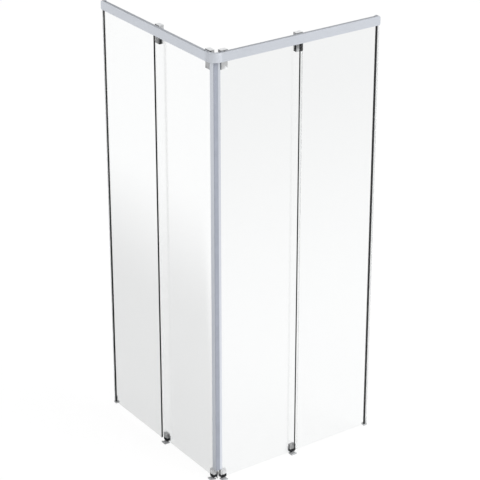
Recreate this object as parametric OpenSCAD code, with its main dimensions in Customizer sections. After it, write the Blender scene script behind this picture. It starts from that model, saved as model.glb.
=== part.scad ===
// Corner-entry shower screen: two fixed panes, two sliding doors and one rail round the corner.
// Each arm is drawn with x along the rail from the outer corner, y inwards from the rail's
// outer face and z up from the floor. The left arm is the right arm's frame mirrored over x = y.

/* [Screen] */
// Length of each arm, from the outer corner to the wall
arm = 800; // [740:5:900]
// Height over all, from the feet to the top of the rail
height = 1877; // [1700:1:2100]
// Thickness of all the glass
glass_t = 6; // [5:0.5:6]

/* [Rail] */
// Height of the rail's outer face
rail_h = 38; // [37:1:45]
// Thickness of the outer face
fascia_t = 2.5; // [2:0.5:3]
// Thickness of the top web
web_t = 2; // [1.5:0.5:2.5]
// Thickness of the inner wall
wall_t = 2; // [1.5:0.5:2.5]
// Rubber on each side of a fixed pane
gasket_t = 1.5; // [1:0.25:1.75]
// Depth from the rail's top to the track's underside
track_drop = 33; // [32:0.5:35]
// Width of the track inside the inner wall
track_w = 6.5; // [6:0.5:7]
// Thickness of the track
track_t = 2; // [1.5:0.5:2.5]
// Width of the rib that the rollers ride on
rib_w = 2.4; // [2:0.2:2.8]
// Height of the rib
rib_h = 3.5; // [3:0.25:4]
// Offset of the rib from the track's middle, away from the inner wall
rib_offset = 0.25; // [0:0.05:0.3]

/* [Corner] */
// Outer radius of the corner cover
corner_r = 38; // [34:1:42]
// Length of the corner cover along each arm
corner_leg = 45; // [44:0.5:46]
// How far the corner bracket reaches into each rail
corner_tongue = 30; // [24:1:40]
// Thickness of the closing buffers
buffer_t = 2.5; // [2:0.5:4]
// How far a buffer covers the hanger that meets it
buffer_reach = 6; // [4:0.5:8]
// Distance from the cover's end to its screw
cover_screw_inset = 5; // [4:0.5:6]

/* [Wall end] */
// Length of the end caps
cap_l = 14; // [13:0.5:18]
// Radius of the end caps' corners
cap_r = 7; // [5:0.5:8]
// Wall of the end caps
cap_t = 2; // [1.5:0.5:2]
// Thickness of the plates on the wall
plate_t = 3; // [2:0.5:4]
// Length of the wall brackets' tongues inside the rail
wall_tongue = 36; // [30:1:50]
// Diameter of the holes for the wall screws
wall_hole_d = 4.5; // [4:0.25:5]
// Distance between the two wall screws
wall_hole_gap = 11; // [10:0.5:12]
// Depth of the wall screws' middle below the rail's top
wall_hole_drop = 25.5; // [24:0.25:26]
// Distance from the wall to a fixed pane
pane_gap = 15; // [12:0.5:18]
// Width of the black gasket behind the pane's edge
edge_gasket = 4.5; // [3:0.5:6]
// Thickness of the clear fin that reaches the wall
fin_t = 2; // [1.5:0.5:3]

/* [Panes] */
// Width of a fixed pane
pane_w = 373; // [340:1:400]
// Height of a fixed pane's lower edge
pane_low = 24; // [20:1:30]
// Depth that a fixed pane's top edge stops below the rail's top
pane_drop = 17; // [16.5:0.5:20]
// How far a closed door reaches behind the fixed pane
door_lap = 29; // [27:1:40]
// Room between an open door's glass and the wall
end_room = 29; // [23:1:40]
// Height of a door's lower edge
door_low = 2; // [1:0.5:4]
// Depth that a door's glass stops below the rail's top
door_drop = 39; // [38:0.5:43]
// Depth of a door's outer face behind the rail's outer face
door_depth = 30; // [30:0.25:31]

/* [Closing profiles] */
// Depth of the profiles' outer faces
profile_depth = 20; // [19.5:0.25:20.5]
// Width of the right door's closing profile
right_profile_w = 11.3; // [11:0.1:12]
// Place of the left door's closing nose
left_close = 20; // [19:0.5:21]
// Width of the left door's closing profile
left_profile_w = 24.5; // [23:0.5:25]
// Thickness of the left profile's soft nose
nose_t = 2; // [1.5:0.5:2.5]
// Depth of the left door's closing profile
left_profile_t = 18.9; // [18.6:0.05:19.2]
// Depth of the right door's closing profile
right_profile_t = 20.9; // [20:0.1:21.5]
// Gap between the two closed doors
magnet_gap = 0.3; // [0.3:0.05:0.5]
// Distance from the right door's closing face to its glass
right_glass_gap = 4.1; // [4:0.05:4.5]
// Distance from the left door's nose to its glass
left_glass_gap = 9; // [8:0.5:10]
// Wall of the closing profiles
profile_wall = 1.5; // [1.2:0.1:1.8]
// Width of the magnets
magnet_w = 5; // [4:0.5:6]
// Thickness of the magnets
magnet_t = 3.4; // [3:0.1:3.6]
// Height where the profiles start
profile_low = 50; // [48:1:60]
// Depth below the rail's top where the profiles end
profile_drop = 41; // [40:0.5:55]

/* [Hangers] */
// Width of a hanger
hanger_w = 30; // [26:1:31]
// Place of the right door's leading hanger
right_hanger_m = 70; // [68:0.5:74]
// Place of the left door's leading hanger
left_hanger_m = 62; // [61.5:0.5:64]
// Distance from the right door's trailing edge to its trailing hanger
right_hanger_inset = 21; // [16:1:40]
// Distance from the left door's trailing edge to its trailing hanger
left_hanger_inset = 29; // [16:1:40]
// Depth of a hanger's outer face
hanger_depth = 20.6; // [20.4:0.1:20.8]
// Thickness of a hanger behind the glass
jaw_t = 6; // [5:0.5:8]
// Thickness of a hanger's bridge under the track
bridge_t = 4; // [3:0.25:5]
// Depth of a hanger's lower end below the rail's top
hanger_drop = 77; // [73:1:85]
// Thickness of the bright cover on each clamp
cover_t = 2; // [1.5:0.5:3]
// Depth of the clamp screws below the rail's top
clamp_screw_drop = 58; // [54:1:62]

/* [Rollers] */
// Radius of a roller's flanges
roller_r = 11; // [10.5:0.25:11.5]
// Radius of the groove
groove_r = 9.2; // [9:0.1:9.4]
// Width of a roller
roller_w = 5.4; // [5:0.1:5.6]
// Diameter of a roller's axle
axle_d = 6; // [5:0.25:6.5]
// Radial running clearance of a roller on its axle
running_fit = 0.05; // [0.02:0.01:0.1]
// Gap between the groove and the rib
roll_gap = 0.3; // [0.2:0.05:0.4]

/* [Lower guides] */
// Place of the right door's leading guide
right_guide_m = 56; // [55:0.5:60]
// Place of the left door's leading guide
left_guide_m = 48; // [44:0.5:52]
// Distance from the right door's trailing edge to its trailing guide
right_guide_inset = 31; // [24:1:60]
// Distance from the left door's trailing edge to its trailing guide
left_guide_inset = 40; // [24:1:60]
// Width of a guide
guide_w = 27; // [26:0.5:30]
// Height of a guide's lower edge
guide_low = 10; // [9:0.5:12]
// Height of a guide
guide_h = 37; // [36:0.5:39]
// Depth of a guide's outer face
guide_depth = 17; // [16:0.5:18]
// Height of the release button's axis
button_z = 35; // [34:0.5:36]
// Radius of the release button
button_r = 9.5; // [8:0.25:10]
// How far the button stands out of its guide
button_proud = 3.5; // [3.2:0.1:4]
// How far the button can be pressed
button_travel = 3; // [2:0.25:3]
// Radius of the button's stem
stem_r = 3; // [2.5:0.25:3.25]
// Thickness of the foot's plate
foot_t = 4; // [3:0.5:5]
// Width of the foot
foot_w = 26; // [22:1:28]
// Depth where the foot begins
foot_depth = 5; // [4:0.5:10]
// Height of the foot's outer lip
foot_lip = 7; // [6:0.5:9]
// Height of the screw through the glass
guide_screw_z = 17; // [16:0.5:18]

/* [Screws] */
// Diameter of the screws through the doors
screw_d = 5; // [4:0.25:5]
// Diameter of the screws' heads
screw_head_d = 9; // [8:0.5:10]
// Height of the screws' heads
screw_head_h = 2.8; // [2:0.2:3.4]
// Length of the screws' shanks
screw_l = 17.4; // [16.5:0.1:18]
// Diameter of the holes drilled in the glass
glass_hole_d = 8; // [6.5:0.5:10]
// Width of the screws' hexagon sockets
socket_d = 3.5; // [2.5:0.25:4]
// Diameter of the countersunk screws in the rail's top
rail_screw_d = 3.5; // [3:0.25:4]
// Diameter of their heads
rail_screw_head_d = 7; // [6:0.25:7.5]
// Length of these screws
rail_screw_l = 8.4; // [7:0.2:9]

/* [Hidden] */

$fn = 48;
// Overlap of a cut past the face that it opens
cut = 1;
// The same for a countersink, which must not grow past its edge
sliver = 0.01;
// Clearance of a part that slides or drops into a pocket
fit = 0.2;
// Radial clearance round a screw's shank
shank_gap = 0.15;
// Clearance round a sunk head
head_gap = 0.1;
// Room beyond the end of a screw or tongue
tip_gap = 0.5;
// Length by which joined shapes of one piece run into each other
bite = 0.5;

// Rail section, measured inwards from the outer face
pane_depth = fascia_t + gasket_t;
pocket_w = glass_t + 2 * gasket_t;
inner_face = fascia_t + pocket_w + wall_t;
track_end = inner_face + track_w;
rib_y = inner_face + track_w / 2 + rib_offset;
rib_top = height - track_drop + track_t + rib_h;
rail_end = arm - cap_l;
tongue_drop = web_t + fit;
channel_gap = 1;
tongue_h = pane_drop - gasket_t - channel_gap - tongue_drop;

// Places along the arm
pane_end = arm - pane_gap;
pane_start = pane_end - pane_w;
door_end = pane_start + door_lap;
travel = arm - end_room - door_end;
right_hangers = [right_hanger_m, door_end - right_hanger_inset];
left_hangers = [left_hanger_m, door_end - left_hanger_inset];
right_guides = [right_guide_m, door_end - right_guide_inset];
left_guides = [left_guide_m, door_end - left_guide_inset];

// Door planes
door_back = door_depth + glass_t;
jaw_back = door_back + jaw_t;
profile_back = profile_depth + left_profile_t;
chamber_t = door_depth - profile_depth - 2 * profile_wall;
right_close = profile_back + magnet_gap;
left_profile_start = left_close + nose_t;
left_profile_end = left_profile_start + left_profile_w;
right_glass_start = right_close + right_glass_gap;
left_glass_start = left_profile_start + left_glass_gap;
magnet_start = profile_depth + 3;
magnet_proud = 0.1;

// Rollers
axle_z = rib_top + roll_gap + groove_r;
roller_y = rib_y - roller_w / 2;
axle_head_r = axle_d / 2 + 1.6;
axle_head_t = 1.2;
axle_proud = 0.2;
axle_end = hanger_depth + 12;
roller_rim_t = 0.7;
roller_bore = axle_d / 2 + running_fit;
groove_room = 0.5;

// Lower guides
guide_corner_r = 4;
recess_end = guide_depth + 5.5;
button_gap = 0.3;
button_skin = 2.5;
button_skirt = 1.8;
button_bevel = 0.8;
dimple_r = 2.7;
dimple_t = 0.6;
cap_front = guide_depth - button_proud;
cap_back = recess_end - button_travel - tip_gap;
tongue_y = guide_depth + 7;
tongue_t = 2.4;
tongue_w = 14;
tongue_top = button_z + stem_r + 3;
slot_l = 8;
neck_r = stem_r / 2;
spring_r = (button_r - button_skirt + stem_r) / 2;
spring_wire = 0.8;
spring_turns = 2.5;
lip_t = 2.5;
foot_gap = 0.6;
plate_w = 24;
plate_h = 22;
plate_d = 4;
plate_r = 3;
plate_rise = 2;

// Fixed panes at the wall
gasket_lap = 3;
gasket_skin = 1;
gasket_end = pane_end + edge_gasket;
clip_w = 17;
clip_h = 8;
clip_plate_h = 28;
clip_plate_w = 12;
clip_depth = 24;
stop_l = 12;
stop_h = 16;
bracket_top = 8.5;
bracket_h = 26;

// Placing and drawing helpers

module on_right() {
    translate([-arm / 2, -arm / 2, 0]) children();
}

module on_left() {
    translate([-arm / 2, -arm / 2, 0]) mirror([1, -1, 0]) children();
}

// Extrudes a section drawn in depth and height along the arm
module along(from, to) {
    translate([from, 0, 0]) rotate([90, 0, 90]) linear_extrude(to - from) children();
}

// Extrudes a face drawn along the arm and in height inwards
module inward(from, to) {
    translate([0, to, 0]) rotate([90, 0, 0]) linear_extrude(to - from) children();
}

// Extrudes a plan upwards
module upright(from, to) {
    translate([0, 0, from]) linear_extrude(to - from) children();
}

// A face with true round corners, for pieces that also have bores
module rounded_face(w, h, r) {
    translate([r, 0]) square([w - 2 * r, h]);
    translate([0, r]) square([w, h - 2 * r]);
    for (x = [r, w - r], y = [r, h - r]) {
        translate([x, y]) circle(r);
    }
}

// A rod that lies inwards
module rod(r, from, to) {
    translate([0, to, 0]) rotate([90, 0, 0]) cylinder(r = r, h = to - from);
}

// Rail, corner and wall ends

module rail_section() {
    translate([0, height - rail_h]) square([fascia_t, rail_h]);
    translate([0, height - web_t]) square([inner_face, web_t]);
    translate([inner_face - wall_t, height - track_drop]) square([wall_t, track_drop]);
    translate([inner_face - wall_t, height - track_drop]) square([track_w + wall_t, track_t]);
    translate([rib_y - rib_w / 2, height - track_drop]) square([rib_w, track_t + rib_h - rib_w / 2]);
    translate([rib_y, rib_top - rib_w / 2]) circle(rib_w / 2);
}

rail_screw_y = fascia_t + pocket_w / 2;
corner_screw_m = corner_leg + corner_tongue / 2;
cover_screw_m = corner_leg - cover_screw_inset;
wall_screw_m = rail_end - wall_tongue / 2 + cap_l / 2;

// A countersunk screw with its head flush with the rail's top
module rail_screw(m) {
    translate([m, rail_screw_y, height - rail_screw_l]) {
        cylinder(d = rail_screw_d, h = rail_screw_l - web_t / 2);
    }
    translate([m, rail_screw_y, height - web_t + head_gap]) {
        cylinder(d1 = rail_screw_d, d2 = rail_screw_head_d - 4 * head_gap, h = web_t - 2 * head_gap);
    }
}

module rail_screw_hole(m) {
    hole_d = rail_screw_d + 2 * shank_gap;
    translate([m, rail_screw_y, height - rail_screw_l - cut]) {
        cylinder(d = hole_d, h = rail_screw_l + 2 * cut);
    }
    translate([m, rail_screw_y, height - web_t]) {
        cylinder(d1 = hole_d, d2 = rail_screw_head_d, h = web_t + sliver);
    }
}

module rail() {
    color("silver") difference() {
        along(corner_leg, rail_end) rail_section();
        rail_screw_hole(corner_screw_m);
        rail_screw_hole(wall_screw_m);
    }
}

module right_rail() {
    on_right() rail();
}

module left_rail() {
    on_left() rail();
}

// Plan of a band that follows the corner at a given depth
module corner_band(depth, width, leg) {
    r = corner_r - depth;
    difference() {
        union() {
            translate([corner_r, depth]) square([leg - corner_r, width]);
            translate([depth, corner_r]) square([width, leg - corner_r]);
            intersection() {
                translate([corner_r, corner_r]) circle(r, $fn = 96);
                translate([depth, depth]) square([r, r]);
            }
        }
        translate([corner_r, corner_r]) circle(r - width, $fn = 96);
    }
}

module corner_cover() {
    color("silver") on_right() difference() {
        union() {
            upright(height - rail_h, height) corner_band(0, fascia_t, corner_leg);
            upright(height - web_t, height) corner_band(0, inner_face, corner_leg);
        }
        rail_screw_hole(cover_screw_m);
        mirror([1, -1, 0]) rail_screw_hole(cover_screw_m);
    }
}

// An arm from behind the cover to the buffer that a closed door's leading hanger meets
module buffer_arm(hanger_m) {
    end = hanger_m - hanger_w / 2 - roll_gap;
    arm_y = inner_face + fit;
    root_l = 6;
    translate([corner_r - root_l, 0, height - tongue_drop - tongue_h]) {
        translate([0, rail_screw_y, 0]) {
            cube([corner_leg - fit - corner_r + root_l, arm_y - rail_screw_y + buffer_t, tongue_h]);
        }
        translate([0, arm_y, 0]) cube([end - corner_r + root_l, buffer_t, tongue_h]);
    }
    translate([end - buffer_t, arm_y, height - tongue_drop - tongue_h]) {
        cube([buffer_t, hanger_depth + buffer_reach - arm_y, tongue_h]);
    }
}

module corner_bracket() {
    depth = fascia_t + fit;
    color("#26282b") on_right() difference() {
        union() {
            upright(height - tongue_drop - tongue_h, height - tongue_drop) {
                corner_band(depth, pocket_w - 2 * fit, corner_leg + corner_tongue);
            }
            buffer_arm(right_hanger_m);
            mirror([1, -1, 0]) buffer_arm(left_hanger_m);
        }
        for (m = [corner_screw_m, cover_screw_m]) {
            rail_screw_hole(m);
            mirror([1, -1, 0]) rail_screw_hole(m);
        }
    }
}

module rail_screws() {
    color("silver") {
        for (m = [cover_screw_m, corner_screw_m, wall_screw_m]) {
            on_right() rail_screw(m);
            on_left() rail_screw(m);
        }
    }
}

module end_cap() {
    color("silver") difference() {
        inward(0, track_end) {
            translate([rail_end - cap_r, height - rail_h]) rounded_face(cap_l + cap_r, rail_h, cap_r);
        }
        translate([rail_end - cap_r - cut, -cut, height - rail_h - cut]) {
            cube([cap_r + cut, track_end + 2 * cut, rail_h + 2 * cut]);
        }
        inward(cap_t, track_end - cap_t) {
            translate([rail_end - cap_r, height - rail_h + cap_t]) {
                rounded_face(cap_l + cap_r - cap_t, rail_h - 2 * cap_t, cap_r - cap_t);
            }
        }
        translate([rail_end + cap_t, cap_t, height - bracket_top - bracket_h - fit]) {
            cube([cap_l, track_end - 2 * cap_t, bracket_h + 2 * fit]);
        }
    }
}

module right_end_cap() {
    on_right() end_cap();
}

module left_end_cap() {
    on_left() end_cap();
}

wall_hole_y = track_end / 2;
wall_hole_z = height - wall_hole_drop;

module wall_bracket() {
    color("gray") difference() {
        union() {
            translate([arm - plate_t, cap_t + fit, height - bracket_top - bracket_h]) {
                cube([plate_t, track_end - 2 * cap_t - 2 * fit, bracket_h]);
            }
            translate([rail_end - wall_tongue, fascia_t + fit, height - tongue_drop - tongue_h]) {
                cube([wall_tongue + cap_l - cap_r, pocket_w - 2 * fit, tongue_h]);
            }
            translate([rail_end, fascia_t + fit, height - tongue_drop - tongue_h]) {
                cube([cap_l, pocket_w - 2 * fit, tongue_h + tongue_drop - bracket_top]);
            }
        }
        rail_screw_hole(wall_screw_m);
        for (side = [-1, 1]) {
            translate([arm - plate_t - cut, wall_hole_y, wall_hole_z + side * wall_hole_gap / 2]) {
                rotate([0, 90, 0]) cylinder(d = wall_hole_d, h = plate_t + 2 * cut);
            }
        }
    }
}

module right_wall_bracket() {
    on_right() wall_bracket();
}

module left_wall_bracket() {
    on_left() wall_bracket();
}

// Fixed panes and their seals

module fixed_glass() {
    color("lightcyan", 0.4) translate([pane_start, pane_depth, pane_low]) {
        cube([pane_end - pane_start, glass_t, height - pane_drop - pane_low]);
    }
}

module right_fixed_glass() {
    on_right() fixed_glass();
}

module left_fixed_glass() {
    on_left() fixed_glass();
}

// The rubber channel that holds a pane's top edge in the rail
module glazing_gasket() {
    top = height - pane_drop + gasket_t;
    along(pane_start, pane_end) difference() {
        translate([fascia_t, height - rail_h]) square([pocket_w, top - height + rail_h]);
        translate([pane_depth, height - rail_h - cut]) square([glass_t, rail_h - pane_drop + cut]);
    }
}

module glazing_gaskets() {
    color("#1d1d1f") {
        on_right() glazing_gasket();
        on_left() glazing_gasket();
    }
}

// The black gasket over a pane's wall edge
module wall_gasket() {
    color("#141416") upright(pane_low, height - rail_h - fit) difference() {
        translate([pane_end - gasket_lap, pane_depth - gasket_skin]) {
            square([gasket_lap + edge_gasket, glass_t + 2 * gasket_skin]);
        }
        translate([pane_end - gasket_lap - cut, pane_depth]) square([gasket_lap + cut, glass_t]);
    }
}

module right_wall_gasket() {
    on_right() wall_gasket();
}

module left_wall_gasket() {
    on_left() wall_gasket();
}

module wall_fin() {
    color("white", 0.5) translate([gasket_end, pane_depth + glass_t / 2 - fin_t / 2, pane_low]) {
        cube([arm - gasket_end, fin_t, height - rail_h - fit - pane_low]);
    }
}

module right_wall_fin() {
    on_right() wall_fin();
}

module left_wall_fin() {
    on_left() wall_fin();
}

clip_hole_y = clip_depth - clip_plate_w / 2;
clip_hole_z = pane_low - clip_h + clip_plate_h - 8;

module lower_clip() {
    color("gainsboro") difference() {
        union() {
            translate([arm - clip_w, pane_depth - gasket_skin, pane_low - clip_h]) {
                cube([clip_w, clip_depth - pane_depth + gasket_skin, clip_h]);
            }
            translate([arm - plate_t, clip_depth - clip_plate_w, pane_low - clip_h]) {
                cube([plate_t, clip_plate_w, clip_plate_h]);
            }
        }
        translate([arm - plate_t - cut, clip_hole_y, clip_hole_z]) {
            rotate([0, 90, 0]) cylinder(d = wall_hole_d, h = plate_t + 2 * cut);
        }
    }
}

module right_lower_clip() {
    on_right() lower_clip();
}

module left_lower_clip() {
    on_left() lower_clip();
}

// A rubber block on the track that the open door's trailing roller meets
module track_stop(trail_m) {
    at = trail_m + travel + roller_r + roll_gap;
    low = height - track_drop + track_t;
    along(at, at + stop_l) difference() {
        translate([inner_face, low]) square([track_w - fit, stop_h]);
        translate([rib_y - rib_w / 2 - fit, low - cut]) square([rib_w + 2 * fit, rib_h + fit + cut]);
    }
}

module track_stops() {
    color("#1d1d1f") {
        on_right() track_stop(right_hangers[1]);
        on_left() track_stop(left_hangers[1]);
    }
}

// Door glass and closing profiles

module glass_hole() {
    rod(glass_hole_d / 2, door_depth - cut, door_back + cut);
}

module door_glass(from, hangers, guides) {
    color("lightcyan", 0.4) difference() {
        translate([from, door_depth, door_low]) {
            cube([door_end - from, glass_t, height - door_drop - door_low]);
        }
        for (m = hangers) {
            translate([m, 0, height - clamp_screw_drop]) glass_hole();
        }
        for (m = guides) {
            translate([m, 0, guide_screw_z]) glass_hole();
        }
    }
}

module right_door_glass() {
    on_right() door_glass(right_glass_start, right_hangers, right_guides);
}

module left_door_glass() {
    on_left() door_glass(left_glass_start, left_hangers, left_guides);
}

module right_closing_profile() {
    color("silver") on_right() upright(profile_low, height - profile_drop) difference() {
        translate([right_close + magnet_proud, profile_depth]) {
            square([right_profile_w - magnet_proud, right_profile_t]);
        }
        translate([right_glass_start, door_depth]) square([right_profile_w, glass_t]);
        translate([right_close, magnet_start]) square([magnet_t, magnet_w]);
        translate([right_close + magnet_w, profile_depth + profile_wall]) {
            square([right_profile_w - magnet_w - profile_wall, chamber_t]);
        }
    }
}

module right_magnet_seal() {
    color("#2b2d31") on_right() upright(profile_low, height - profile_drop) {
        translate([right_close, magnet_start]) square([magnet_t, magnet_w]);
    }
}

module left_closing_profile() {
    color("silver") on_left() upright(profile_low, height - profile_drop) difference() {
        translate([left_profile_start, profile_depth]) square([left_profile_w, left_profile_t]);
        translate([left_glass_start, door_depth]) square([left_profile_w, glass_t]);
        translate([magnet_start, profile_back - magnet_t]) square([magnet_w, magnet_t + cut]);
        translate([left_glass_start, profile_depth + profile_wall]) {
            square([left_profile_end - left_glass_start - profile_wall, chamber_t]);
        }
    }
}

module left_magnet_seal() {
    color("#2b2d31") on_left() upright(profile_low, height - profile_drop) {
        translate([magnet_start, profile_back - magnet_t]) square([magnet_w, magnet_t]);
    }
}

// The grey nose along the left door's closing edge, with a round outer corner
module left_nose_seal() {
    color("slategray") on_left() upright(profile_low, height - profile_drop) {
        translate([left_close, profile_depth + nose_t]) square([nose_t, left_profile_t - nose_t]);
        intersection() {
            translate([left_close + nose_t, profile_depth + nose_t]) circle(nose_t);
            translate([left_close, profile_depth]) square([nose_t, nose_t]);
        }
    }
}

// Hangers, rollers and clamps

module hanger(m) {
    low = height - hanger_drop;
    bridge_low = height - door_drop;
    color("silver") translate([m, 0, 0]) difference() {
        along(-hanger_w / 2, hanger_w / 2) {
            translate([hanger_depth, bridge_low]) square([jaw_back - hanger_depth, height - bridge_low]);
            translate([door_back, low]) square([jaw_t, bridge_low - low]);
            translate([roller_y, bridge_low]) square([hanger_depth - roller_y, bridge_t]);
        }
        translate([0, 0, axle_z]) rod(roller_bore, hanger_depth - cut, axle_end);
        translate([0, 0, height - clamp_screw_drop]) {
            rod(screw_d / 2 + shank_gap, door_back - cut, jaw_back + cut);
        }
    }
}

module right_lead_hanger() {
    on_right() hanger(right_hangers[0]);
}

module right_trail_hanger() {
    on_right() hanger(right_hangers[1]);
}

module left_lead_hanger() {
    on_left() hanger(left_hangers[0]);
}

module left_trail_hanger() {
    on_left() hanger(left_hangers[1]);
}

// The dark jaw on the glass's outer face
module clamp(m) {
    front = hanger_depth + cover_t;
    color("#1b1c1e") translate([m, 0, 0]) difference() {
        translate([-hanger_w / 2, front, height - hanger_drop]) {
            cube([hanger_w, door_depth - front, hanger_drop - door_drop]);
        }
        translate([0, 0, height - clamp_screw_drop]) {
            rod(screw_d / 2 + shank_gap, jaw_back - screw_l - tip_gap, door_depth + cut);
        }
    }
}

module right_lead_clamp() {
    on_right() clamp(right_hangers[0]);
}

module right_trail_clamp() {
    on_right() clamp(right_hangers[1]);
}

module left_lead_clamp() {
    on_left() clamp(left_hangers[0]);
}

module left_trail_clamp() {
    on_left() clamp(left_hangers[1]);
}

// The bright plate in front of a clamp
module clamp_cover(m) {
    translate([m - hanger_w / 2, 0, height - hanger_drop]) {
        inward(hanger_depth, hanger_depth + cover_t) rounded_face(hanger_w, hanger_drop - door_drop, cover_t);
    }
}

module clamp_covers(hangers) {
    color("whitesmoke") {
        for (m = hangers) {
            clamp_cover(m);
        }
    }
}

module right_clamp_covers() {
    on_right() clamp_covers(right_hangers);
}

module left_clamp_covers() {
    on_left() clamp_covers(left_hangers);
}

// An axle with a flat head outside the roller
module roller_axles(hangers) {
    color("gray") {
        for (m = hangers) {
            translate([m, 0, axle_z]) {
                rod(axle_d / 2, roller_y, axle_end);
                rod(axle_head_r, roller_y - axle_proud, roller_y + axle_head_t - axle_proud);
            }
        }
    }
}

module right_roller_axles() {
    on_right() roller_axles(right_hangers);
}

module left_roller_axles() {
    on_left() roller_axles(left_hangers);
}

// A grooved roller, its profile drawn by radius and width
module roller(m) {
    half = rib_w / 2 + groove_room;
    recess = roller_w - axle_head_t - head_gap;
    color("dimgray") translate([m, roller_y + roller_w, axle_z]) rotate([90, 0, 0]) rotate_extrude() {
        polygon([
            [roller_bore, 0], [roller_r, 0], [roller_r, roller_rim_t], [groove_r, roller_w / 2 - half],
            [groove_r, roller_w / 2 + half], [roller_r, roller_w - roller_rim_t], [roller_r, roller_w],
            [axle_head_r + fit, roller_w], [axle_head_r + fit, recess], [roller_bore, recess]
        ]);
    }
}

module right_lead_roller() {
    on_right() roller(right_hangers[0]);
}

module right_trail_roller() {
    on_right() roller(right_hangers[1]);
}

module left_lead_roller() {
    on_left() roller(left_hangers[0]);
}

module left_trail_roller() {
    on_left() roller(left_hangers[1]);
}

// A screw through a door, its head on the inner side at the given depth
module door_screw(m, head_y, z) {
    translate([m, 0, z]) difference() {
        union() {
            rod(screw_d / 2, head_y - screw_l, head_y + bite);
            rod(screw_head_d / 2, head_y, head_y + screw_head_h);
        }
        translate([0, head_y + screw_head_h + cut, 0]) {
            rotate([90, 0, 0]) cylinder(d = socket_d, h = screw_head_h / 2 + cut, $fn = 6);
        }
    }
}

module door_screws(hangers, guides) {
    color("silver") {
        for (m = hangers) {
            door_screw(m, jaw_back, height - clamp_screw_drop);
        }
        for (m = guides) {
            door_screw(m, door_back + plate_d, guide_screw_z);
        }
    }
}

module right_door_screws() {
    on_right() door_screws(right_hangers, right_guides);
}

module left_door_screws() {
    on_left() door_screws(left_hangers, left_guides);
}

// Lower guides, feet and release buttons

module guide(m) {
    color("#17181a") translate([m, 0, 0]) difference() {
        inward(guide_depth, door_depth) {
            translate([-guide_w / 2, guide_low]) rounded_face(guide_w, guide_h, guide_corner_r);
        }
        translate([0, 0, button_z]) rod(button_r + button_gap, guide_depth - cut, recess_end);
        translate([0, 0, button_z]) rod(stem_r + fit, guide_depth, door_depth + cut);
        translate([0, 0, guide_screw_z]) {
            rod(screw_d / 2 + shank_gap, door_back + plate_d - screw_l - tip_gap, door_depth + cut);
        }
        translate([-tongue_w / 2 - fit, tongue_y - fit, guide_low - cut]) {
            cube([tongue_w + 2 * fit, tongue_t + 2 * fit, tongue_top + tip_gap - guide_low + cut]);
        }
    }
}

module right_lead_guide() {
    on_right() guide(right_guides[0]);
}

module right_trail_guide() {
    on_right() guide(right_guides[1]);
}

module left_lead_guide() {
    on_left() guide(left_guides[0]);
}

module left_trail_guide() {
    on_left() guide(left_guides[1]);
}

// The gliding foot; its tongue hangs in the guide on the button's stem
module foot(m) {
    window = screw_d + 2 * tip_gap;
    color("lightgray") translate([m, 0, 0]) difference() {
        union() {
            translate([-foot_w / 2, foot_depth, 0]) {
                cube([foot_w, door_depth - foot_gap - foot_depth, foot_t]);
                cube([foot_w, lip_t, foot_lip]);
            }
            translate([-tongue_w / 2, tongue_y, 0]) cube([tongue_w, tongue_t, tongue_top]);
        }
        translate([-window / 2, tongue_y - cut, guide_screw_z - window]) {
            cube([window, tongue_t + 2 * cut, 2 * window]);
        }
        translate([0, 0, button_z]) rod(stem_r + fit, tongue_y - cut, tongue_y + tongue_t + cut);
        translate([-neck_r - fit, tongue_y - cut, button_z - slot_l]) {
            cube([2 * neck_r + 2 * fit, tongue_t + 2 * cut, slot_l]);
        }
    }
}

module right_lead_foot() {
    on_right() foot(right_guides[0]);
}

module right_trail_foot() {
    on_right() foot(right_guides[1]);
}

module left_lead_foot() {
    on_left() foot(left_guides[0]);
}

module left_trail_foot() {
    on_left() foot(left_guides[1]);
}

// The plates behind the glass that the guides' screws pull on
module guide_plates(guides) {
    low = guide_screw_z - plate_h / 2 + plate_rise;
    color("silver") {
        for (m = guides) {
            difference() {
                translate([m - plate_w / 2, 0, low]) {
                    inward(door_back, door_back + plate_d) rounded_face(plate_w, plate_h, plate_r);
                }
                translate([m, 0, guide_screw_z]) {
                    rod(screw_d / 2 + shank_gap, door_back - cut, door_back + plate_d + cut);
                }
            }
        }
    }
}

module right_guide_plates() {
    on_right() guide_plates(right_guides);
}

module left_guide_plates() {
    on_left() guide_plates(left_guides);
}

// The bright button: a hollow cap, and a stem with a neck that frees the foot when pressed
module button(m) {
    neck_end = tongue_y - button_gap;
    neck_start = neck_end - button_travel - fit;
    color("whitesmoke") translate([m, 0, button_z]) {
        difference() {
            union() {
                rod(button_r, cap_front + button_bevel, cap_back);
                translate([0, cap_front + button_bevel, 0]) rotate([90, 0, 0]) {
                    cylinder(r1 = button_r, r2 = button_r - button_bevel, h = button_bevel);
                }
            }
            rod(button_r - button_skirt, cap_front + button_skin, cap_back + cut);
            rod(dimple_r, cap_front - cut, cap_front + dimple_t);
        }
        rod(stem_r, cap_front + button_skin - bite, neck_start);
        rod(neck_r, neck_start - bite, neck_end + bite);
        rod(stem_r, neck_end, door_depth - button_travel - button_gap);
    }
}

module right_lead_button() {
    on_right() button(right_guides[0]);
}

module right_trail_button() {
    on_right() button(right_guides[1]);
}

module left_lead_button() {
    on_left() button(left_guides[0]);
}

module left_trail_button() {
    on_left() button(left_guides[1]);
}

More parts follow.
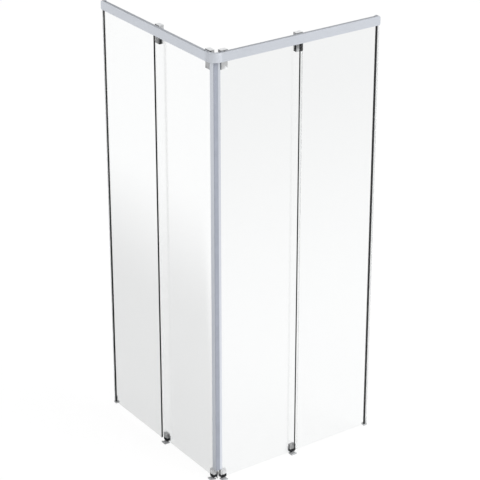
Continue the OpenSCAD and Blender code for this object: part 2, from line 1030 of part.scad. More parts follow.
// A coil spring swept along its helix, with its axis inwards
module coil_spring(from, to) {
    sides = 6;
    steps = 40;
    function at(i, j) = let (
        turn = 360 * spring_turns * i / steps,
        around = 360 * j / sides,
        r = spring_r + spring_wire / 2 * cos(around),
        y = from + (to - from) * i / steps + spring_wire / 2 * sin(around)
    ) [r * cos(turn), y, r * sin(turn)];
    points = [for (i = [0:steps], j = [0:sides - 1]) at(i, j)];
    skin = [for (i = [0:steps - 1], j = [0:sides - 1]) let (k = (j + 1) % sides)
        [i * sides + j, i * sides + k, (i + 1) * sides + k, (i + 1) * sides + j]];
    first = [for (j = [sides - 1:-1:0]) j];
    last = [for (j = [0:sides - 1]) steps * sides + j];
    polyhedron(points, concat(skin, [first, last]));
}

module button_springs(guides) {
    color("gray") {
        for (m = guides) {
            translate([m, 0, button_z]) coil_spring(cap_front + button_skin + bite, recess_end - bite);
        }
    }
}

module right_button_springs() {
    on_right() button_springs(right_guides);
}

module left_button_springs() {
    on_left() button_springs(left_guides);
}

right_rail();
left_rail();
corner_cover();
corner_bracket();
rail_screws();
right_end_cap();
left_end_cap();
right_wall_bracket();
left_wall_bracket();
right_fixed_glass();
left_fixed_glass();
glazing_gaskets();
right_wall_gasket();
left_wall_gasket();
right_wall_fin();
left_wall_fin();
right_lower_clip();
left_lower_clip();
track_stops();
right_door_glass();
right_closing_profile();
right_magnet_seal();
right_lead_hanger();
right_trail_hanger();
right_lead_clamp();
right_trail_clamp();
right_clamp_covers();
right_roller_axles();
right_lead_roller();
right_trail_roller();
right_lead_guide();
right_trail_guide();
right_lead_foot();
right_trail_foot();
right_guide_plates();
right_lead_button();
right_trail_button();
right_button_springs();
right_door_screws();
left_door_glass();
left_closing_profile();
left_magnet_seal();
left_nose_seal();
left_lead_hanger();
left_trail_hanger();
left_lead_clamp();
left_trail_clamp();
left_clamp_covers();
left_roller_axles();
left_lead_roller();
left_trail_roller();
left_lead_guide();
left_trail_guide();
left_lead_foot();
left_trail_foot();
left_guide_plates();
left_lead_button();
left_trail_button();
left_button_springs();
left_door_screws();
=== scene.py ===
import math

import bmesh
import bpy
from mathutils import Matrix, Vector


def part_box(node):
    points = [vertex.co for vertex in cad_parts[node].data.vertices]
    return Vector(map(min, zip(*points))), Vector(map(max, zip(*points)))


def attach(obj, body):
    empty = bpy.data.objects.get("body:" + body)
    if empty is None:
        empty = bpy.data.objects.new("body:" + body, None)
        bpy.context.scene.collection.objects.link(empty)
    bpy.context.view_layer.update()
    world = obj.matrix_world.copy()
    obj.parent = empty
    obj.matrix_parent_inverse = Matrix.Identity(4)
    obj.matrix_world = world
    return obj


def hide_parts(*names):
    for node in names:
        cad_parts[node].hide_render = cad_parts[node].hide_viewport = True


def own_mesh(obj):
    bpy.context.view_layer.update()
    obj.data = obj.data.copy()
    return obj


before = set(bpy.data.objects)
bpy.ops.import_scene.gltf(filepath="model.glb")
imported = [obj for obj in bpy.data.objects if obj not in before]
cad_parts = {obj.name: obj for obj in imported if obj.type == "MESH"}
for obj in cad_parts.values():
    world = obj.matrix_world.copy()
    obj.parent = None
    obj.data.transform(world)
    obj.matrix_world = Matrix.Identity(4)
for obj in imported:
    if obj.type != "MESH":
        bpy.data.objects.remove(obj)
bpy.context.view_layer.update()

# ---------------------------------------------------------------------------
# Rails, corner cover and end caps
# The two rails are drawn aluminium lengths, satin anodised, with fine lines along the draw.
# The corner cover and the end caps are the same metal, pushed on and screwed from above.

SIDES = ("right", "left")
ENDS = ("lead", "trail")
ALUMINIUM = (0.665, 0.695, 0.75)
ALUMINIUM_ROUGHNESS = 0.36
ALUMINIUM_GLOSS = 0.4
RAIL_METALLIC = 0.45
COVER_METALLIC = 0.12
DRAWN_RELIEF = 0.00002
CLOUD_GRAIN = (9, 9, 9)
RAIL_EDGE = 0.0004
CAP_EDGE = 0.0008
WELD_REACH = 0.00001
SHARP_ANGLE = 40
MIX_COLOURS = (6, 7)
MIXED_COLOUR = 2


class Shade:
    """A socket of a material that is being drawn. Sums and products of sockets add their Math nodes."""

    def __init__(self, tree, socket=None):
        self.tree = tree
        self.socket = socket

    def add(self, kind, settings=None, values=None, out=0):
        """One node of a kind: its settings come first, then the values or links of its sockets."""
        node = self.tree.nodes.new(kind)
        for name, value in (settings or {}).items():
            setattr(node, name, value)
        for name, value in (values or {}).items():
            if isinstance(value, Shade):
                self.tree.links.new(value.socket, node.inputs[name])
            else:
                node.inputs[name].default_value = value
        return Shade(self.tree, node.outputs[out])

    def math(self, operation, first, second):
        return self.add("ShaderNodeMath", {"operation": operation}, {0: first, 1: second})

    def __add__(self, other):
        return self.math("ADD", self, other)

    def __sub__(self, other):
        return self.math("SUBTRACT", self, other)

    def __rsub__(self, other):
        return self.math("SUBTRACT", other, self)

    def __mul__(self, other):
        return self.math("MULTIPLY", self, other)

    def larger(self, other):
        return self.math("MAXIMUM", self, other)

    __radd__ = __add__
    __rmul__ = __mul__

    def over(self, low, high):
        """0 at low, 1 at high and smooth between."""
        settings = {"interpolation_type": "SMOOTHSTEP"}
        return self.add("ShaderNodeMapRange", settings, {0: self, 1: low, 2: high})

    def under(self, high, low):
        """0 at high, 1 at low and smooth between."""
        return (0 - self).over(-high, -low)

    def blend(self, first, second):
        """The colour first where this value is 0, and second where it is 1."""
        colours = [c if isinstance(c, Shade) else (*c, 1) for c in (first, second)]
        values = {0: self, **dict(zip(MIX_COLOURS, colours))}
        return self.add("ShaderNodeMix", {"data_type": "RGBA"}, values, MIXED_COLOUR)

    def parts(self):
        """The three numbers of a vector."""
        outputs = self.add("ShaderNodeSeparateXYZ", values={0: self}).socket.node.outputs
        return [Shade(self.tree, output) for output in outputs]


def new_finish(name, **fixed):
    """A material, its drawing hand and its shader, with the values that are the same all over."""
    made = bpy.data.materials.new(name)
    made.use_nodes = True
    shader = made.node_tree.nodes["Principled BSDF"]
    for socket, value in fixed.items():
        shader.inputs[socket.replace("_", " ")].default_value = value
    return made, Shade(made.node_tree), shader


def connect(hand, shader, **varying):
    for socket, value in varying.items():
        hand.tree.links.new(value.socket, shader.inputs[socket.replace("_", " ")])


def noise_on(hand, scale, detail=2):
    """Noise on the piece itself, its grain stretched by a scale for each direction, in 1/m."""
    place = hand.add("ShaderNodeTexCoord", out="Object")
    stretched = hand.add("ShaderNodeVectorMath", {"operation": "MULTIPLY"}, {0: place, 1: scale})
    return hand.add("ShaderNodeTexNoise", values={"Vector": stretched, "Scale": 1, "Detail": detail})


def bumped(hand, height, distance):
    return hand.add("ShaderNodeBump", values={"Height": height, "Distance": distance, "Strength": 1})


def tinted(colour, amount):
    return tuple(channel * amount for channel in colour)


def mottled(pattern, colour, darkest, palest):
    """A colour that a pattern turns darker and paler, between two shares of itself."""
    return pattern.blend(tinted(colour, darkest), tinted(colour, palest))


def around(pattern, middle, spread):
    """A value that a pattern moves up and down about its middle."""
    return pattern * spread + (middle - spread / 2)


def satin(name, grain, metallic=RAIL_METALLIC):
    """Anodised aluminium whose drawn lines follow the direction with the small grain value."""
    made, hand, shader = new_finish(name, Metallic=metallic, Specular_IOR_Level=ALUMINIUM_GLOSS)
    lines = noise_on(hand, grain)
    pattern = lines * 0.5 + noise_on(hand, CLOUD_GRAIN) * 0.5
    connect(hand, shader, Base_Color=mottled(pattern, ALUMINIUM, darkest=0.93, palest=1.06),
            Roughness=around(lines, ALUMINIUM_ROUGHNESS, spread=0.14),
            Normal=bumped(hand, lines, DRAWN_RELIEF))
    return made


def wear(node, finish, edge=0):
    """Gives a CAD piece a finish and, with an edge radius, softly broken edges."""
    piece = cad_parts[node]
    for place in piece.material_slots:
        place.material = finish
    if edge:
        joined = piece.modifiers.new("joined_faces", "WELD")
        joined.merge_threshold = WELD_REACH
        broken = piece.modifiers.new("broken_edges", "BEVEL")
        broken.width = edge
        broken.segments = 2
        broken.limit_method = "ANGLE"
        broken.angle_limit = math.radians(SHARP_ANGLE)
        broken.harden_normals = True


satin_x = satin("satin_along_right_arm", grain=(2, 900, 900))
satin_y = satin("satin_along_left_arm", grain=(900, 2, 900))
satin_z = satin("satin_upright", grain=(900, 900, 2))
satin_cover = satin("satin_corner", grain=(600, 600, 60), metallic=COVER_METALLIC)
wear("right_rail", satin_x, RAIL_EDGE)
wear("left_rail", satin_y, RAIL_EDGE)
wear("corner_cover", satin_cover, RAIL_EDGE)
for side in SIDES:
    wear(side + "_end_cap", satin_z, CAP_EDGE)

# ---------------------------------------------------------------------------
# Corner bracket, wall brackets, rail screws and track stops
# Moulded and pressed pieces inside the rail. The bracket is black nylon with a buffer for each
# door, the wall brackets and screws are steel and the stops are rubber blocks on the tracks.

BLACK_PLASTIC = (0.017, 0.018, 0.020)
RUBBER = (0.012, 0.012, 0.014)
STEEL = (0.56, 0.57, 0.58)
MOULD_GLOSS = 0.4
MOULD_GRAIN = 1400
MOULD_CLOUD = (30, 30, 30)
MOULD_RELIEF = 0.00003
SKIN_SPREAD = 0.16
METAL_CLOUD = (60, 60, 60)
METAL_RELIEF = 0.00001
FINE_DETAIL = 3


def moulded(name, colour, roughness, grain=MOULD_GRAIN):
    """A moulding in plastic or rubber, with a fine skin and a faint cloud in its colour."""
    made, hand, shader = new_finish(name, Specular_IOR_Level=MOULD_GLOSS)
    skin = noise_on(hand, (grain, grain, grain), FINE_DETAIL)
    pattern = skin * 0.4 + noise_on(hand, MOULD_CLOUD) * 0.6
    connect(hand, shader, Base_Color=mottled(pattern, colour, darkest=0.85, palest=1.18),
            Roughness=around(skin, roughness, SKIN_SPREAD), Normal=bumped(hand, skin, MOULD_RELIEF))
    return made


def metal(name, colour, roughness, grain):
    """Bare or plated metal with a fine grain and a faint cloud in its polish."""
    made, hand, shader = new_finish(name, Metallic=1.0)
    lines = noise_on(hand, (grain, grain, grain), FINE_DETAIL)
    cloud = noise_on(hand, METAL_CLOUD)
    pattern = lines * 0.5 + cloud * 0.5
    connect(hand, shader, Base_Color=mottled(pattern, colour, darkest=0.9, palest=1.06),
            Roughness=around(lines, roughness, spread=0.12) + around(cloud, middle=0, spread=0.06),
            Normal=bumped(hand, lines, METAL_RELIEF))
    return made


black_nylon = moulded("black_nylon", BLACK_PLASTIC, roughness=0.42)
black_rubber = moulded("black_rubber", RUBBER, roughness=0.66, grain=2200)
steel = metal("bright_steel", STEEL, roughness=0.28, grain=700)
wear("corner_bracket", black_nylon, edge=0.0005)
wear("rail_screws", steel)
wear("track_stops", black_rubber, edge=0.0006)
for side in SIDES:
    wear(side + "_wall_bracket", steel, edge=0.0004)

# ---------------------------------------------------------------------------
# Glass panes
# Four panes of 6 mm toughened glass. The fixed panes show dark ground edges; the doors have
# polished edges and are drilled for their hangers and guides.

GLASS_TINT = (0.926, 0.933, 0.933)
GLASS_IOR = 1.5
FOOT_IOR = 1.02
EDGE_TINT = (0.010, 0.014, 0.014)
POLISHED_TINT = (0.95, 0.97, 0.965)
ARRIS = 0.0008
HOLE_R = 0.004
SCREW_HEAD_R = 0.0045
HOLE_SIDES = 32
SMOOTH_ANGLE = 32
EDGE, FOOT = 1, 2
EDGE_RELIEF = 0.00003
FILM_GRAIN = (1.3, 1.3, 0.7)
FILM_ROUGHNESS = 0.004


def on_arm(side, point):
    """A point given along the arm, inwards and up, in the frame's own axes."""
    along, inwards, up = point
    return Vector((along, inwards, up) if side == "right" else (inwards, along, up))


def reach(node):
    """Lowest and highest corner of a CAD node, along its arm, inwards and up."""
    side = node.split("_")[0]
    return [on_arm(side, corner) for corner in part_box(node)]


def finished(mesh_data, name, side, body, finishes, replaced=()):
    """Turns a bmesh drawn on an arm into a piece that rides on a body."""
    if side == "left":
        for vertex in mesh_data.verts:
            vertex.co = on_arm(side, vertex.co)
    bmesh.ops.recalc_face_normals(mesh_data, faces=mesh_data.faces)
    mesh = bpy.data.meshes.new(name)
    mesh_data.to_mesh(mesh)
    mesh_data.free()
    for face in mesh.polygons:
        face.use_smooth = True
    mesh.set_sharp_from_angle(angle=math.radians(SMOOTH_ANGLE))
    for finish in finishes:
        mesh.materials.append(finish)
    piece = bpy.data.objects.new(name, mesh)
    bpy.context.scene.collection.objects.link(piece)
    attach(piece, body)
    if replaced:
        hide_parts(*replaced)
    return piece


def ring_of(mesh_data, centre, radius, sides, inwards):
    """A circle of vertices on a plane at a depth inwards."""
    ring = []
    for k in range(sides):
        turn = 2 * math.pi * k / sides
        place = (centre[0] + radius * math.cos(turn), inwards, centre[1] + radius * math.sin(turn))
        ring.append(mesh_data.verts.new(place))
    return ring


def drilled_pane(low, high, holes):
    """A pane with an arris on each edge and drilled holes. Its edges and its foot are marked."""
    pane = bmesh.new()
    faces_at = []
    for inwards, step in ((low.y, 1), (high.y, -1)):
        outline = [(low.x + ARRIS, low.z + ARRIS), (high.x - ARRIS, low.z + ARRIS),
                   (high.x - ARRIS, high.z - ARRIS), (low.x + ARRIS, high.z - ARRIS)]
        border = [pane.verts.new((x, inwards, z)) for x, z in outline]
        rims = [ring_of(pane, hole, HOLE_R + ARRIS / 2, HOLE_SIDES, inwards) for hole in holes]
        sunk = inwards + step * ARRIS / 2
        throats = [ring_of(pane, hole, HOLE_R, HOLE_SIDES, sunk) for hole in holes]
        loops = [border] + rims
        edges = [pane.edges.new((loop[k - 1], loop[k])) for loop in loops for k in range(len(loop))]
        bmesh.ops.triangle_fill(pane, edges=edges, use_beauty=True, use_dissolve=False)
        shoulder = [pane.verts.new((x, inwards + step * ARRIS, z)) for x, z in (
            (low.x, low.z), (high.x, low.z), (high.x, high.z), (low.x, high.z))]
        faces_at.append((border, shoulder, rims, throats))
    strips = []
    for border, shoulder, rims, throats in faces_at:
        strips.append((border, shoulder))
        strips.extend(zip(rims, throats))
    strips.append((faces_at[0][1], faces_at[1][1]))
    strips.extend(zip(faces_at[0][3], faces_at[1][3]))
    for one, other in strips:
        for k in range(len(one)):
            face = pane.faces.new((one[k - 1], one[k], other[k], other[k - 1]))
            is_foot = len(one) == 4 and k == 1
            face.material_index = FOOT if is_foot else EDGE
    return pane


def glass(name, ior):
    """Clear glass with a faint, slow change in its tint."""
    made, hand, shader = new_finish(name, Transmission_Weight=1.0, IOR=ior)
    film = noise_on(hand, FILM_GRAIN)
    connect(hand, shader, Base_Color=mottled(film, GLASS_TINT, darkest=0.99, palest=1.01),
            Roughness=film * FILM_ROUGHNESS)
    return made


clear = glass("clear_glass", GLASS_IOR)
foot_edge = glass("glass_foot", FOOT_IOR)
ground, hand, shader = new_finish("ground_glass_edge", Specular_IOR_Level=0.15)
grit = noise_on(hand, (900, 900, 900), FINE_DETAIL)
connect(hand, shader, Base_Color=mottled(grit, EDGE_TINT, darkest=0.7, palest=1.5),
        Roughness=around(grit, middle=0.4, spread=0.2), Normal=bumped(hand, grit, EDGE_RELIEF))
polished, hand, shader = new_finish("polished_glass_edge", Transmission_Weight=0.92, IOR=1.15)
grit = noise_on(hand, (500, 500, 500), FINE_DETAIL)
connect(hand, shader, Base_Color=mottled(grit, POLISHED_TINT, darkest=0.96, palest=1.04),
        Roughness=around(grit, middle=0.35, spread=0.2))
for side in SIDES:
    low, high = reach(side + "_fixed_glass")
    finished(drilled_pane(low, high, []), side + "_fixed_pane", side, "frame",
             [clear, ground, foot_edge], [side + "_fixed_glass"])
    low, high = reach(side + "_door_glass")
    screws = reach(side + "_door_screws")
    holes = []
    heights = {"hanger": screws[1].z - SCREW_HEAD_R, "guide": screws[0].z + SCREW_HEAD_R}
    for end in ENDS:
        for part, height in heights.items():
            ends = reach(side + "_" + end + "_" + part)
            holes.append(((ends[0].x + ends[1].x) / 2, height))
    finished(drilled_pane(low, high, holes), side + "_door_pane", side, side + "_door",
             [clear, polished, foot_edge], [side + "_door_glass"])

# ---------------------------------------------------------------------------
# Seals of the fixed panes
# Black rubber channels grip the top edges, black gaskets close the wall edges, a slim black
# guard covers the free edge and a soft clear fin reaches the wall. A pale clip carries a corner.

VINYL = (0.88, 0.89, 0.89)
PALE_PLASTIC = (0.58, 0.59, 0.60)
GUARD_T = 0.0005
GUARD_LAP = 0.0007
GUARD_ARRIS = 0.0002
GUARD_GAP = 0.001
VINYL_RELIEF = 0.0001


def upright_strip(outline, foot, top):
    """An outline of places along the arm and inwards, drawn up from a foot to a top."""
    strip = bmesh.new()
    ends = [[strip.verts.new((*place, height)) for place in outline] for height in (foot, top)]
    for n in range(len(outline)):
        strip.faces.new((ends[0][n - 1], ends[0][n], ends[1][n], ends[1][n - 1]))
    strip.faces.new(ends[0])
    strip.faces.new(ends[1])
    return strip


vinyl, hand, shader = new_finish("clear_vinyl", Transmission_Weight=0.75, IOR=1.4)
ripple = noise_on(hand, (60, 60, 8))
connect(hand, shader, Base_Color=mottled(ripple, VINYL, darkest=0.96, palest=1.04),
        Roughness=around(ripple, middle=0.325, spread=0.15), Normal=bumped(hand, ripple, VINYL_RELIEF))
pale_plastic = moulded("pale_plastic", PALE_PLASTIC, roughness=0.45)
wear("glazing_gaskets", black_rubber)
for side in SIDES:
    wear(side + "_wall_gasket", black_rubber, edge=0.0003)
    wear(side + "_wall_fin", vinyl)
    wear(side + "_lower_clip", pale_plastic, edge=0.0008)
    low, high = reach(side + "_fixed_glass")
    front, back = low.y - GUARD_LAP, high.y + GUARD_LAP
    outer = low.x - GUARD_T
    outline = [(low.x, front), (outer + GUARD_ARRIS, front), (outer, front + GUARD_ARRIS),
               (outer, back - GUARD_ARRIS), (outer + GUARD_ARRIS, back), (low.x, back)]
    rail_foot = reach(side + "_rail")[0].z
    finished(upright_strip(outline, low.z, rail_foot - GUARD_GAP), side + "_edge_guard", side, "frame",
             [black_rubber])

# ---------------------------------------------------------------------------
# Closing profiles, magnets and the left door's nose
# Satin aluminium profiles pushed on the doors' leading edges. Each holds a magnetic strip, and
# the left one has a soft grey nose that the right door closes against.

NOSE_GREY = (0.36, 0.385, 0.45)
MAGNET_GREY = (0.030, 0.032, 0.036)
SEAL_GRAIN = 1800

nose_rubber = moulded("grey_nose_rubber", NOSE_GREY, roughness=0.5, grain=SEAL_GRAIN)
magnet_rubber = moulded("dark_magnet_rubber", MAGNET_GREY, roughness=0.55, grain=SEAL_GRAIN)
for side in SIDES:
    wear(side + "_closing_profile", satin_z, RAIL_EDGE)
    wear(side + "_magnet_seal", magnet_rubber)
wear("left_nose_seal", nose_rubber)

# ---------------------------------------------------------------------------
# Hangers, clamps and rollers
# Cast hangers clamp the glass between a black jaw and a chromed cover. Each has a
# steel axle with a grooved nylon roller, which runs on the rib of the track. The hangers carry
# painted light on top and painted shade in front and at their ends, and each cover's chrome
# has a painted reflection tone of its own, darker on the left and at the trailing ends.

FRONT_AXIS = {"right": 1, "left": 0}
FRONT_TURN = (0.3, 0.7)
TOP_TURN = (0.5, 0.9)
SILL_BLUR = 0.0005
NO_SILL = -1
FACED_GLOSS = 0.2
FACED_GRIME = 0.08
# Painted light and shade on the hangers: tones for the top, front and ends of one casting.
HANGER_PAINTED_LIGHT = (1.0, 0.26, 0.56)
# Painted reflection: one chrome in a tone for each cover, darker on the left and trailing ones.
COVER_PAINTED_REFLECTION = {"right_lead": 0.98, "left_lead": 0.34, "right_trail": 0.60, "left_trail": 0.22}
CHROME = (0.98, 0.99, 1.0)
NYLON = (0.30, 0.31, 0.32)
DARK_END = {"right_trail": 0.0205}
DARK = 1
COVER_CORNER = 0.0015
COVER_EDGE = 0.0008
COVER_RIM = ((0, 1), (0.3, 0.3), (1, 0))
CORNER_STEPS = 6


def painted_by_facing(name, light_and_shade_tones, side, roughness, sill=NO_SILL):
    """A moulding with painted light and shade by the way each face looks: a tone on top, in front and at
    its ends, and black below its sill.
    """
    made, hand, shader = new_finish(name, Specular_IOR_Level=FACED_GLOSS)
    top, front, end = (tinted(CHROME, painted_tone) for painted_tone in light_and_shade_tones)
    facing = hand.add("ShaderNodeNewGeometry", out="Normal").parts()
    forward, upward = facing[FRONT_AXIS[side]], facing[2]
    # Painted light and shade: the tone follows which way each face looks.
    shade = (forward * forward).over(*FRONT_TURN).blend(end, front)
    shade = upward.over(*TOP_TURN).blend(shade, top)
    height = hand.add("ShaderNodeTexCoord", out="Object").parts()[2]
    shade = height.over(sill - SILL_BLUR, sill + SILL_BLUR).blend(BLACK_PLASTIC, shade)
    skin = noise_on(hand, (MOULD_GRAIN, MOULD_GRAIN, MOULD_GRAIN), FINE_DETAIL)
    connect(hand, shader, Base_Color=(skin * FACED_GRIME).blend(shade, (0, 0, 0)),
            Roughness=around(skin, roughness, SKIN_SPREAD), Normal=bumped(hand, skin, DRAWN_RELIEF))
    return made


def rounded_ring(mesh_data, low, high, corner, inwards):
    """A rounded rectangle of vertices at a depth inwards."""
    left, right = low.x + corner, high.x - corner
    foot, top = low.z + corner, high.z - corner
    middles = ((right, top), (left, top), (left, foot), (right, foot))
    ring = []
    for quarter, (middle_x, middle_z) in enumerate(middles):
        for k in range(CORNER_STEPS + 1):
            turn = math.radians(90 * quarter + 90 * k / CORNER_STEPS)
            place = (middle_x + corner * math.cos(turn), inwards, middle_z + corner * math.sin(turn))
            ring.append(mesh_data.verts.new(place))
    return ring


def skin_between(mesh_data, rings):
    """Faces between rings that follow each other."""
    for one, other in zip(rings, rings[1:]):
        for n in range(len(one)):
            mesh_data.faces.new((one[n - 1], one[n], other[n], other[n - 1]))


def soft_plate(low, high, dark_end):
    """A plate with round corners whose outer rim rolls over. Its sides and its dark end are marked."""
    plate = bmesh.new()
    rings = [rounded_ring(plate, low, high, COVER_CORNER, high.y)]
    for drawn_in, sunk in COVER_RIM:
        inset = drawn_in * COVER_EDGE
        shift = Vector((inset, 0, inset))
        depth = low.y + sunk * COVER_EDGE
        rings.append(rounded_ring(plate, low + shift, high - shift, COVER_CORNER - inset, depth))
    skin_between(plate, rings)
    for face in list(plate.faces)[:len(rings[0])]:
        face.material_index = DARK
    plate.faces.new(rings[0])
    plate.faces.new(rings[-1])
    whole = [*plate.verts, *plate.edges, *plate.faces]
    bmesh.ops.bisect_plane(plate, geom=whole, plane_co=(dark_end, 0, 0), plane_no=(1, 0, 0))
    for face in plate.faces:
        if face.calc_center_median().x > dark_end:
            face.material_index = DARK
    return plate


grey_nylon = moulded("grey_nylon", NYLON, roughness=0.38)
for side in SIDES:
    # The hangers' finish: painted light on top, painted shade in front and at the ends.
    hanger_light_and_shade = painted_by_facing(side + "_hanger_casting_painted_light", HANGER_PAINTED_LIGHT, side, roughness=0.34)
    wear(side + "_roller_axles", steel)
    wear(side + "_door_screws", steel, edge=0.0002)
    for end in ENDS:
        name = side + "_" + end
        wear(name + "_hanger", hanger_light_and_shade, edge=0.0008)
        wear(name + "_clamp", black_nylon, edge=0.0006)
        wear(name + "_roller", grey_nylon, edge=0.0002)
        low, high = reach(side + "_clamp_covers")
        clamp_low, clamp_high = reach(name + "_clamp")
        low.x, high.x = clamp_low.x, clamp_high.x
        # Each cover's chrome tone is a painted reflection.
        painted_tone = tinted(CHROME, COVER_PAINTED_REFLECTION[name])
        cover_painted_chrome = metal(name + "_cover_chrome_painted_reflection", painted_tone, roughness=0.16, grain=300)
        plate = soft_plate(low, high, DARK_END.get(name, high.x))
        finished(plate, name + "_clamp_cover", side, side + "_door", [cover_painted_chrome, black_nylon],
                 [side + "_clamp_covers"] if end == "lead" else [])

# ---------------------------------------------------------------------------
# Lower guides, release buttons and feet
# Grey guides with a black skirt, screwed through the glass to a steel plate, and a ring round
# the button. The grey button frees the pale gliding foot, which keeps the door in line. The
# guides carry painted light on top and painted shade in front and most at their ends, and the
# trailing guides and buttons are painted darker, in shade, than the leading ones.

# Painted light and shade on the guides: top, front and end tones, darker for the trailing ones.
GUIDE_PAINTED_LIGHT = {"lead": (0.92, 0.84, 0.60), "trail": (0.64, 0.60, 0.27)}
GUIDE_SILL = 0.025
# Painted shade: the trailing buttons are a darker copy of the leading ones' grey.
BUTTON_PAINTED_SHADE = {"lead": 0.76, "trail": 0.46}
RING_TONE = 0.45
RING_SIDES = 48
RING_R = 0.0112
RING_BORE = 0.0098
RING_PROUD = 0.0006
RING_EDGE = 0.0004
RING_DEPTH = 0.004
SPRING_WIRE = 0.0008
SPRING_TURNS = 2.5
TURN_STEPS = 24
WIRE_SIDES = 8


def turned(centre, outline, sides):
    """A closed outline of radius and depth, turned about an axis that lies inwards."""
    piece = bmesh.new()
    rings = [ring_of(piece, centre, radius, sides, inwards) for radius, inwards in outline]
    skin_between(piece, rings + [rings[0]])
    return piece


def coil(centre, radius, start, stop):
    """A round wire wound about an axis that lies inwards, closed at both ends."""
    wire = bmesh.new()
    steps = round(SPRING_TURNS * TURN_STEPS)
    rings = []
    for n in range(steps + 1):
        turn = 2 * math.pi * n / TURN_STEPS
        middle = start + (stop - start) * n / steps
        rings.append([])
        for k in range(WIRE_SIDES):
            roll = 2 * math.pi * k / WIRE_SIDES
            out = radius + SPRING_WIRE / 2 * math.cos(roll)
            place = (centre[0] + out * math.cos(turn), middle + SPRING_WIRE / 2 * math.sin(roll),
                     centre[1] + out * math.sin(turn))
            rings[n].append(wire.verts.new(place))
    skin_between(wire, rings)
    wire.faces.new(rings[0])
    wire.faces.new(rings[-1])
    return wire


ring_grey = moulded("button_ring_grey", tinted(CHROME, RING_TONE), roughness=0.3)
# Lit and shaded copies of the button grey: painted shade on the trailing buttons.
button_painted_shades = {}
for end, painted_tone in BUTTON_PAINTED_SHADE.items():
    button_painted_shades[end] = moulded(end + "_button_grey", tinted(CHROME, painted_tone), roughness=0.25)
for side in SIDES:
    wear(side + "_guide_plates", steel, edge=0.0004)
    coil_low, coil_high = reach(side + "_button_springs")
    for end in ENDS:
        name = side + "_" + end
        # The guide's finish carries painted light and shade by facing.
        guide_light_and_shade = painted_by_facing(name + "_guide_housing", GUIDE_PAINTED_LIGHT[end], side, roughness=0.35, sill=GUIDE_SILL)
        wear(name + "_guide", guide_light_and_shade, edge=0.0008)
        wear(name + "_foot", pale_plastic, edge=0.0006)
        wear(name + "_button", button_painted_shades[end], edge=0.0003)
        low, high = reach(name + "_button")
        centre = ((low.x + high.x) / 2, (low.z + high.z) / 2)
        front = reach(name + "_guide")[0].y - RING_PROUD
        outline = [(RING_BORE, front + RING_DEPTH), (RING_BORE, front + RING_EDGE),
                   (RING_BORE + RING_EDGE, front), (RING_R - RING_EDGE, front),
                   (RING_R, front + RING_EDGE), (RING_R, front + RING_DEPTH)]
        finished(turned(centre, outline, RING_SIDES), name + "_button_ring", side, side + "_door",
                 [ring_grey])
        radius = coil_high.z - centre[1] - SPRING_WIRE / 2
        wire = coil(centre, radius, coil_low.y + SPRING_WIRE / 2, coil_high.y - SPRING_WIRE / 2)
        spring = finished(wire, name + "_spring", side, side + "_door", [steel],
                          [side + "_button_springs"] if end == "lead" else [])
        anchor = on_arm(side, (centre[0], coil_high.y, centre[1]))
        name + "_button_push"
        on_arm(side, (0, 1, 0))
        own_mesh(spring)

# ---------------------------------------------------------------------------
# Studio: floor, light and camera
# A pale floor that is white for the camera and behind the glass, one wide soft lamp from the
# front right and a white room with a darker back. The camera stands where the photograph's stood.

FLOOR_SIZE = 60
FLOOR_LEVEL = -0.0005
FLOOR_COLOUR = (0.84, 0.84, 0.84)
FLOOR_WHITE = 0.85
WHITE = 1.08
MIRRORED_WHITE = 1.3
MIRROR_STEP = (0.4, 0.6)
FLAG_EDGES = (-1.05, -2.0)
FLAG_START = (-0.44, -0.30)
FLAG_FOOT = (-0.372, -0.362)
LEFT_FACE = -0.4
SLANT = 1.59
FAR_EDGES = (-1.2, -4.2)
FAR_LIGHT = 0.5
LAMP_SIZE = 4.0
LAMP_PLACE = (2.2, -4.6, 4.4)
LAMP_AIM = (0, 0, 0.9)
LAMP_WATTS = 170
ROOM_LIGHT = 0.72
BACK_LIGHT = 0.16
BACK_DIRECTION = (0.53, 0.85, 0)
BACK_TURN = (0.25, 0.7)
SKY_TURN = (0.45, 0.8)
CAMERA_PLACE = (-4.14957, -5.96054, 4.26341)
CAMERA_TURN = (64.8746, 0.00823, -34.88011)
CAMERA_LENS = 143.110
SENSOR = 36


def ray_kinds(hand):
    """1 for rays that see white straight from the camera or through glass, and 1 for mirrored rays."""
    rays = hand.add("ShaderNodeLightPath").socket.node.outputs
    seen, through, glossy, bounces = [Shade(hand.tree, rays[name]) for name in (
        "Is Camera Ray", "Is Transmission Ray", "Is Glossy Ray", "Glossy Depth")]
    return seen.larger(through).larger(glossy), bounces.over(*MIRROR_STEP)


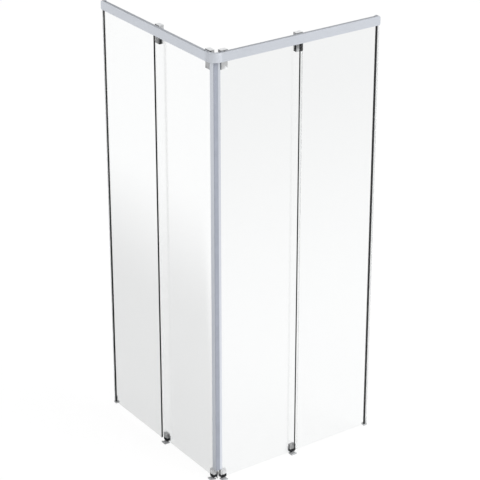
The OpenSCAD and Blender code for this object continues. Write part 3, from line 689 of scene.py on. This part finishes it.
floor_mesh = bmesh.new()
bmesh.ops.create_grid(floor_mesh, x_segments=1, y_segments=1, size=FLOOR_SIZE / 2)
mesh = bpy.data.meshes.new("studio_floor")
floor_mesh.to_mesh(mesh)
floor_mesh.free()
floor = bpy.data.objects.new("studio_floor", mesh)
floor.location.z = FLOOR_LEVEL
bpy.context.scene.collection.objects.link(floor)
paper, hand, shader = new_finish("studio_paper", Roughness=0.9, Specular_IOR_Level=0.1)
shader.inputs["Base Color"].default_value = (*FLOOR_COLOUR, 1)
white_seen, mirrored = ray_kinds(hand)
floor_x, floor_y, _ = hand.add("ShaderNodeTexCoord", out="Object").parts()
beside = (1 - floor_x.over(*FLAG_FOOT)) * (1 - floor_x.under(*FLAG_EDGES))
flag = beside * (floor_y + (floor_x - LEFT_FACE) * SLANT).over(*FLAG_START)
far = floor_y.under(*FAR_EDGES)
level = (1 - flag) * (MIRRORED_WHITE - far * (MIRRORED_WHITE - FAR_LIGHT))
shown = WHITE + mirrored * (level - WHITE)
white = hand.add("ShaderNodeEmission", values={"Color": (1, 1, 1, 1), "Strength": shown})
surface = Shade(hand.tree, shader.outputs[0])
mixed = hand.add("ShaderNodeMixShader", values={0: white_seen * FLOOR_WHITE, 1: surface, 2: white})
hand.tree.links.new(mixed.socket, hand.tree.nodes["Material Output"].inputs["Surface"])
mesh.materials.append(paper)

room = bpy.data.worlds.new("room")
bpy.context.scene.world = room
room.use_nodes = True
hand = Shade(room.node_tree)
white_seen, mirrored = ray_kinds(hand)
direction = hand.add("ShaderNodeTexCoord", out="Generated")
towards_back = hand.add("ShaderNodeVectorMath", {"operation": "DOT_PRODUCT"},
                        {0: direction, 1: BACK_DIRECTION}, out="Value")
height = direction.parts()[2]
back = towards_back.over(*BACK_TURN) * (1 - height.over(*SKY_TURN))
dim = ROOM_LIGHT - back * (ROOM_LIGHT - BACK_LIGHT)
straight = white_seen * (1 - mirrored)
backdrop = room.node_tree.nodes["Background"]
backdrop.inputs["Color"].default_value = (1, 1, 1, 1)
strength = straight + (1 - straight) * dim
room.node_tree.links.new(strength.socket, backdrop.inputs["Strength"])

lamp = bpy.data.lights.new("soft_box", "AREA")
lamp.size = LAMP_SIZE
lamp.energy = LAMP_WATTS
holder = bpy.data.objects.new("soft_box", lamp)
holder.location = LAMP_PLACE
holder.rotation_euler = (Vector(LAMP_AIM) - Vector(LAMP_PLACE)).to_track_quat("-Z", "Y").to_euler()
bpy.context.scene.collection.objects.link(holder)

camera = bpy.data.cameras.new("camera")
camera.lens = CAMERA_LENS
camera.sensor_width = SENSOR
viewer = bpy.data.objects.new("camera", camera)
viewer.location = CAMERA_PLACE
viewer.rotation_euler = [math.radians(turn) for turn in CAMERA_TURN]
bpy.context.scene.collection.objects.link(viewer)
bpy.context.scene.camera = viewer
bpy.context.scene.view_settings.view_transform = "Standard"
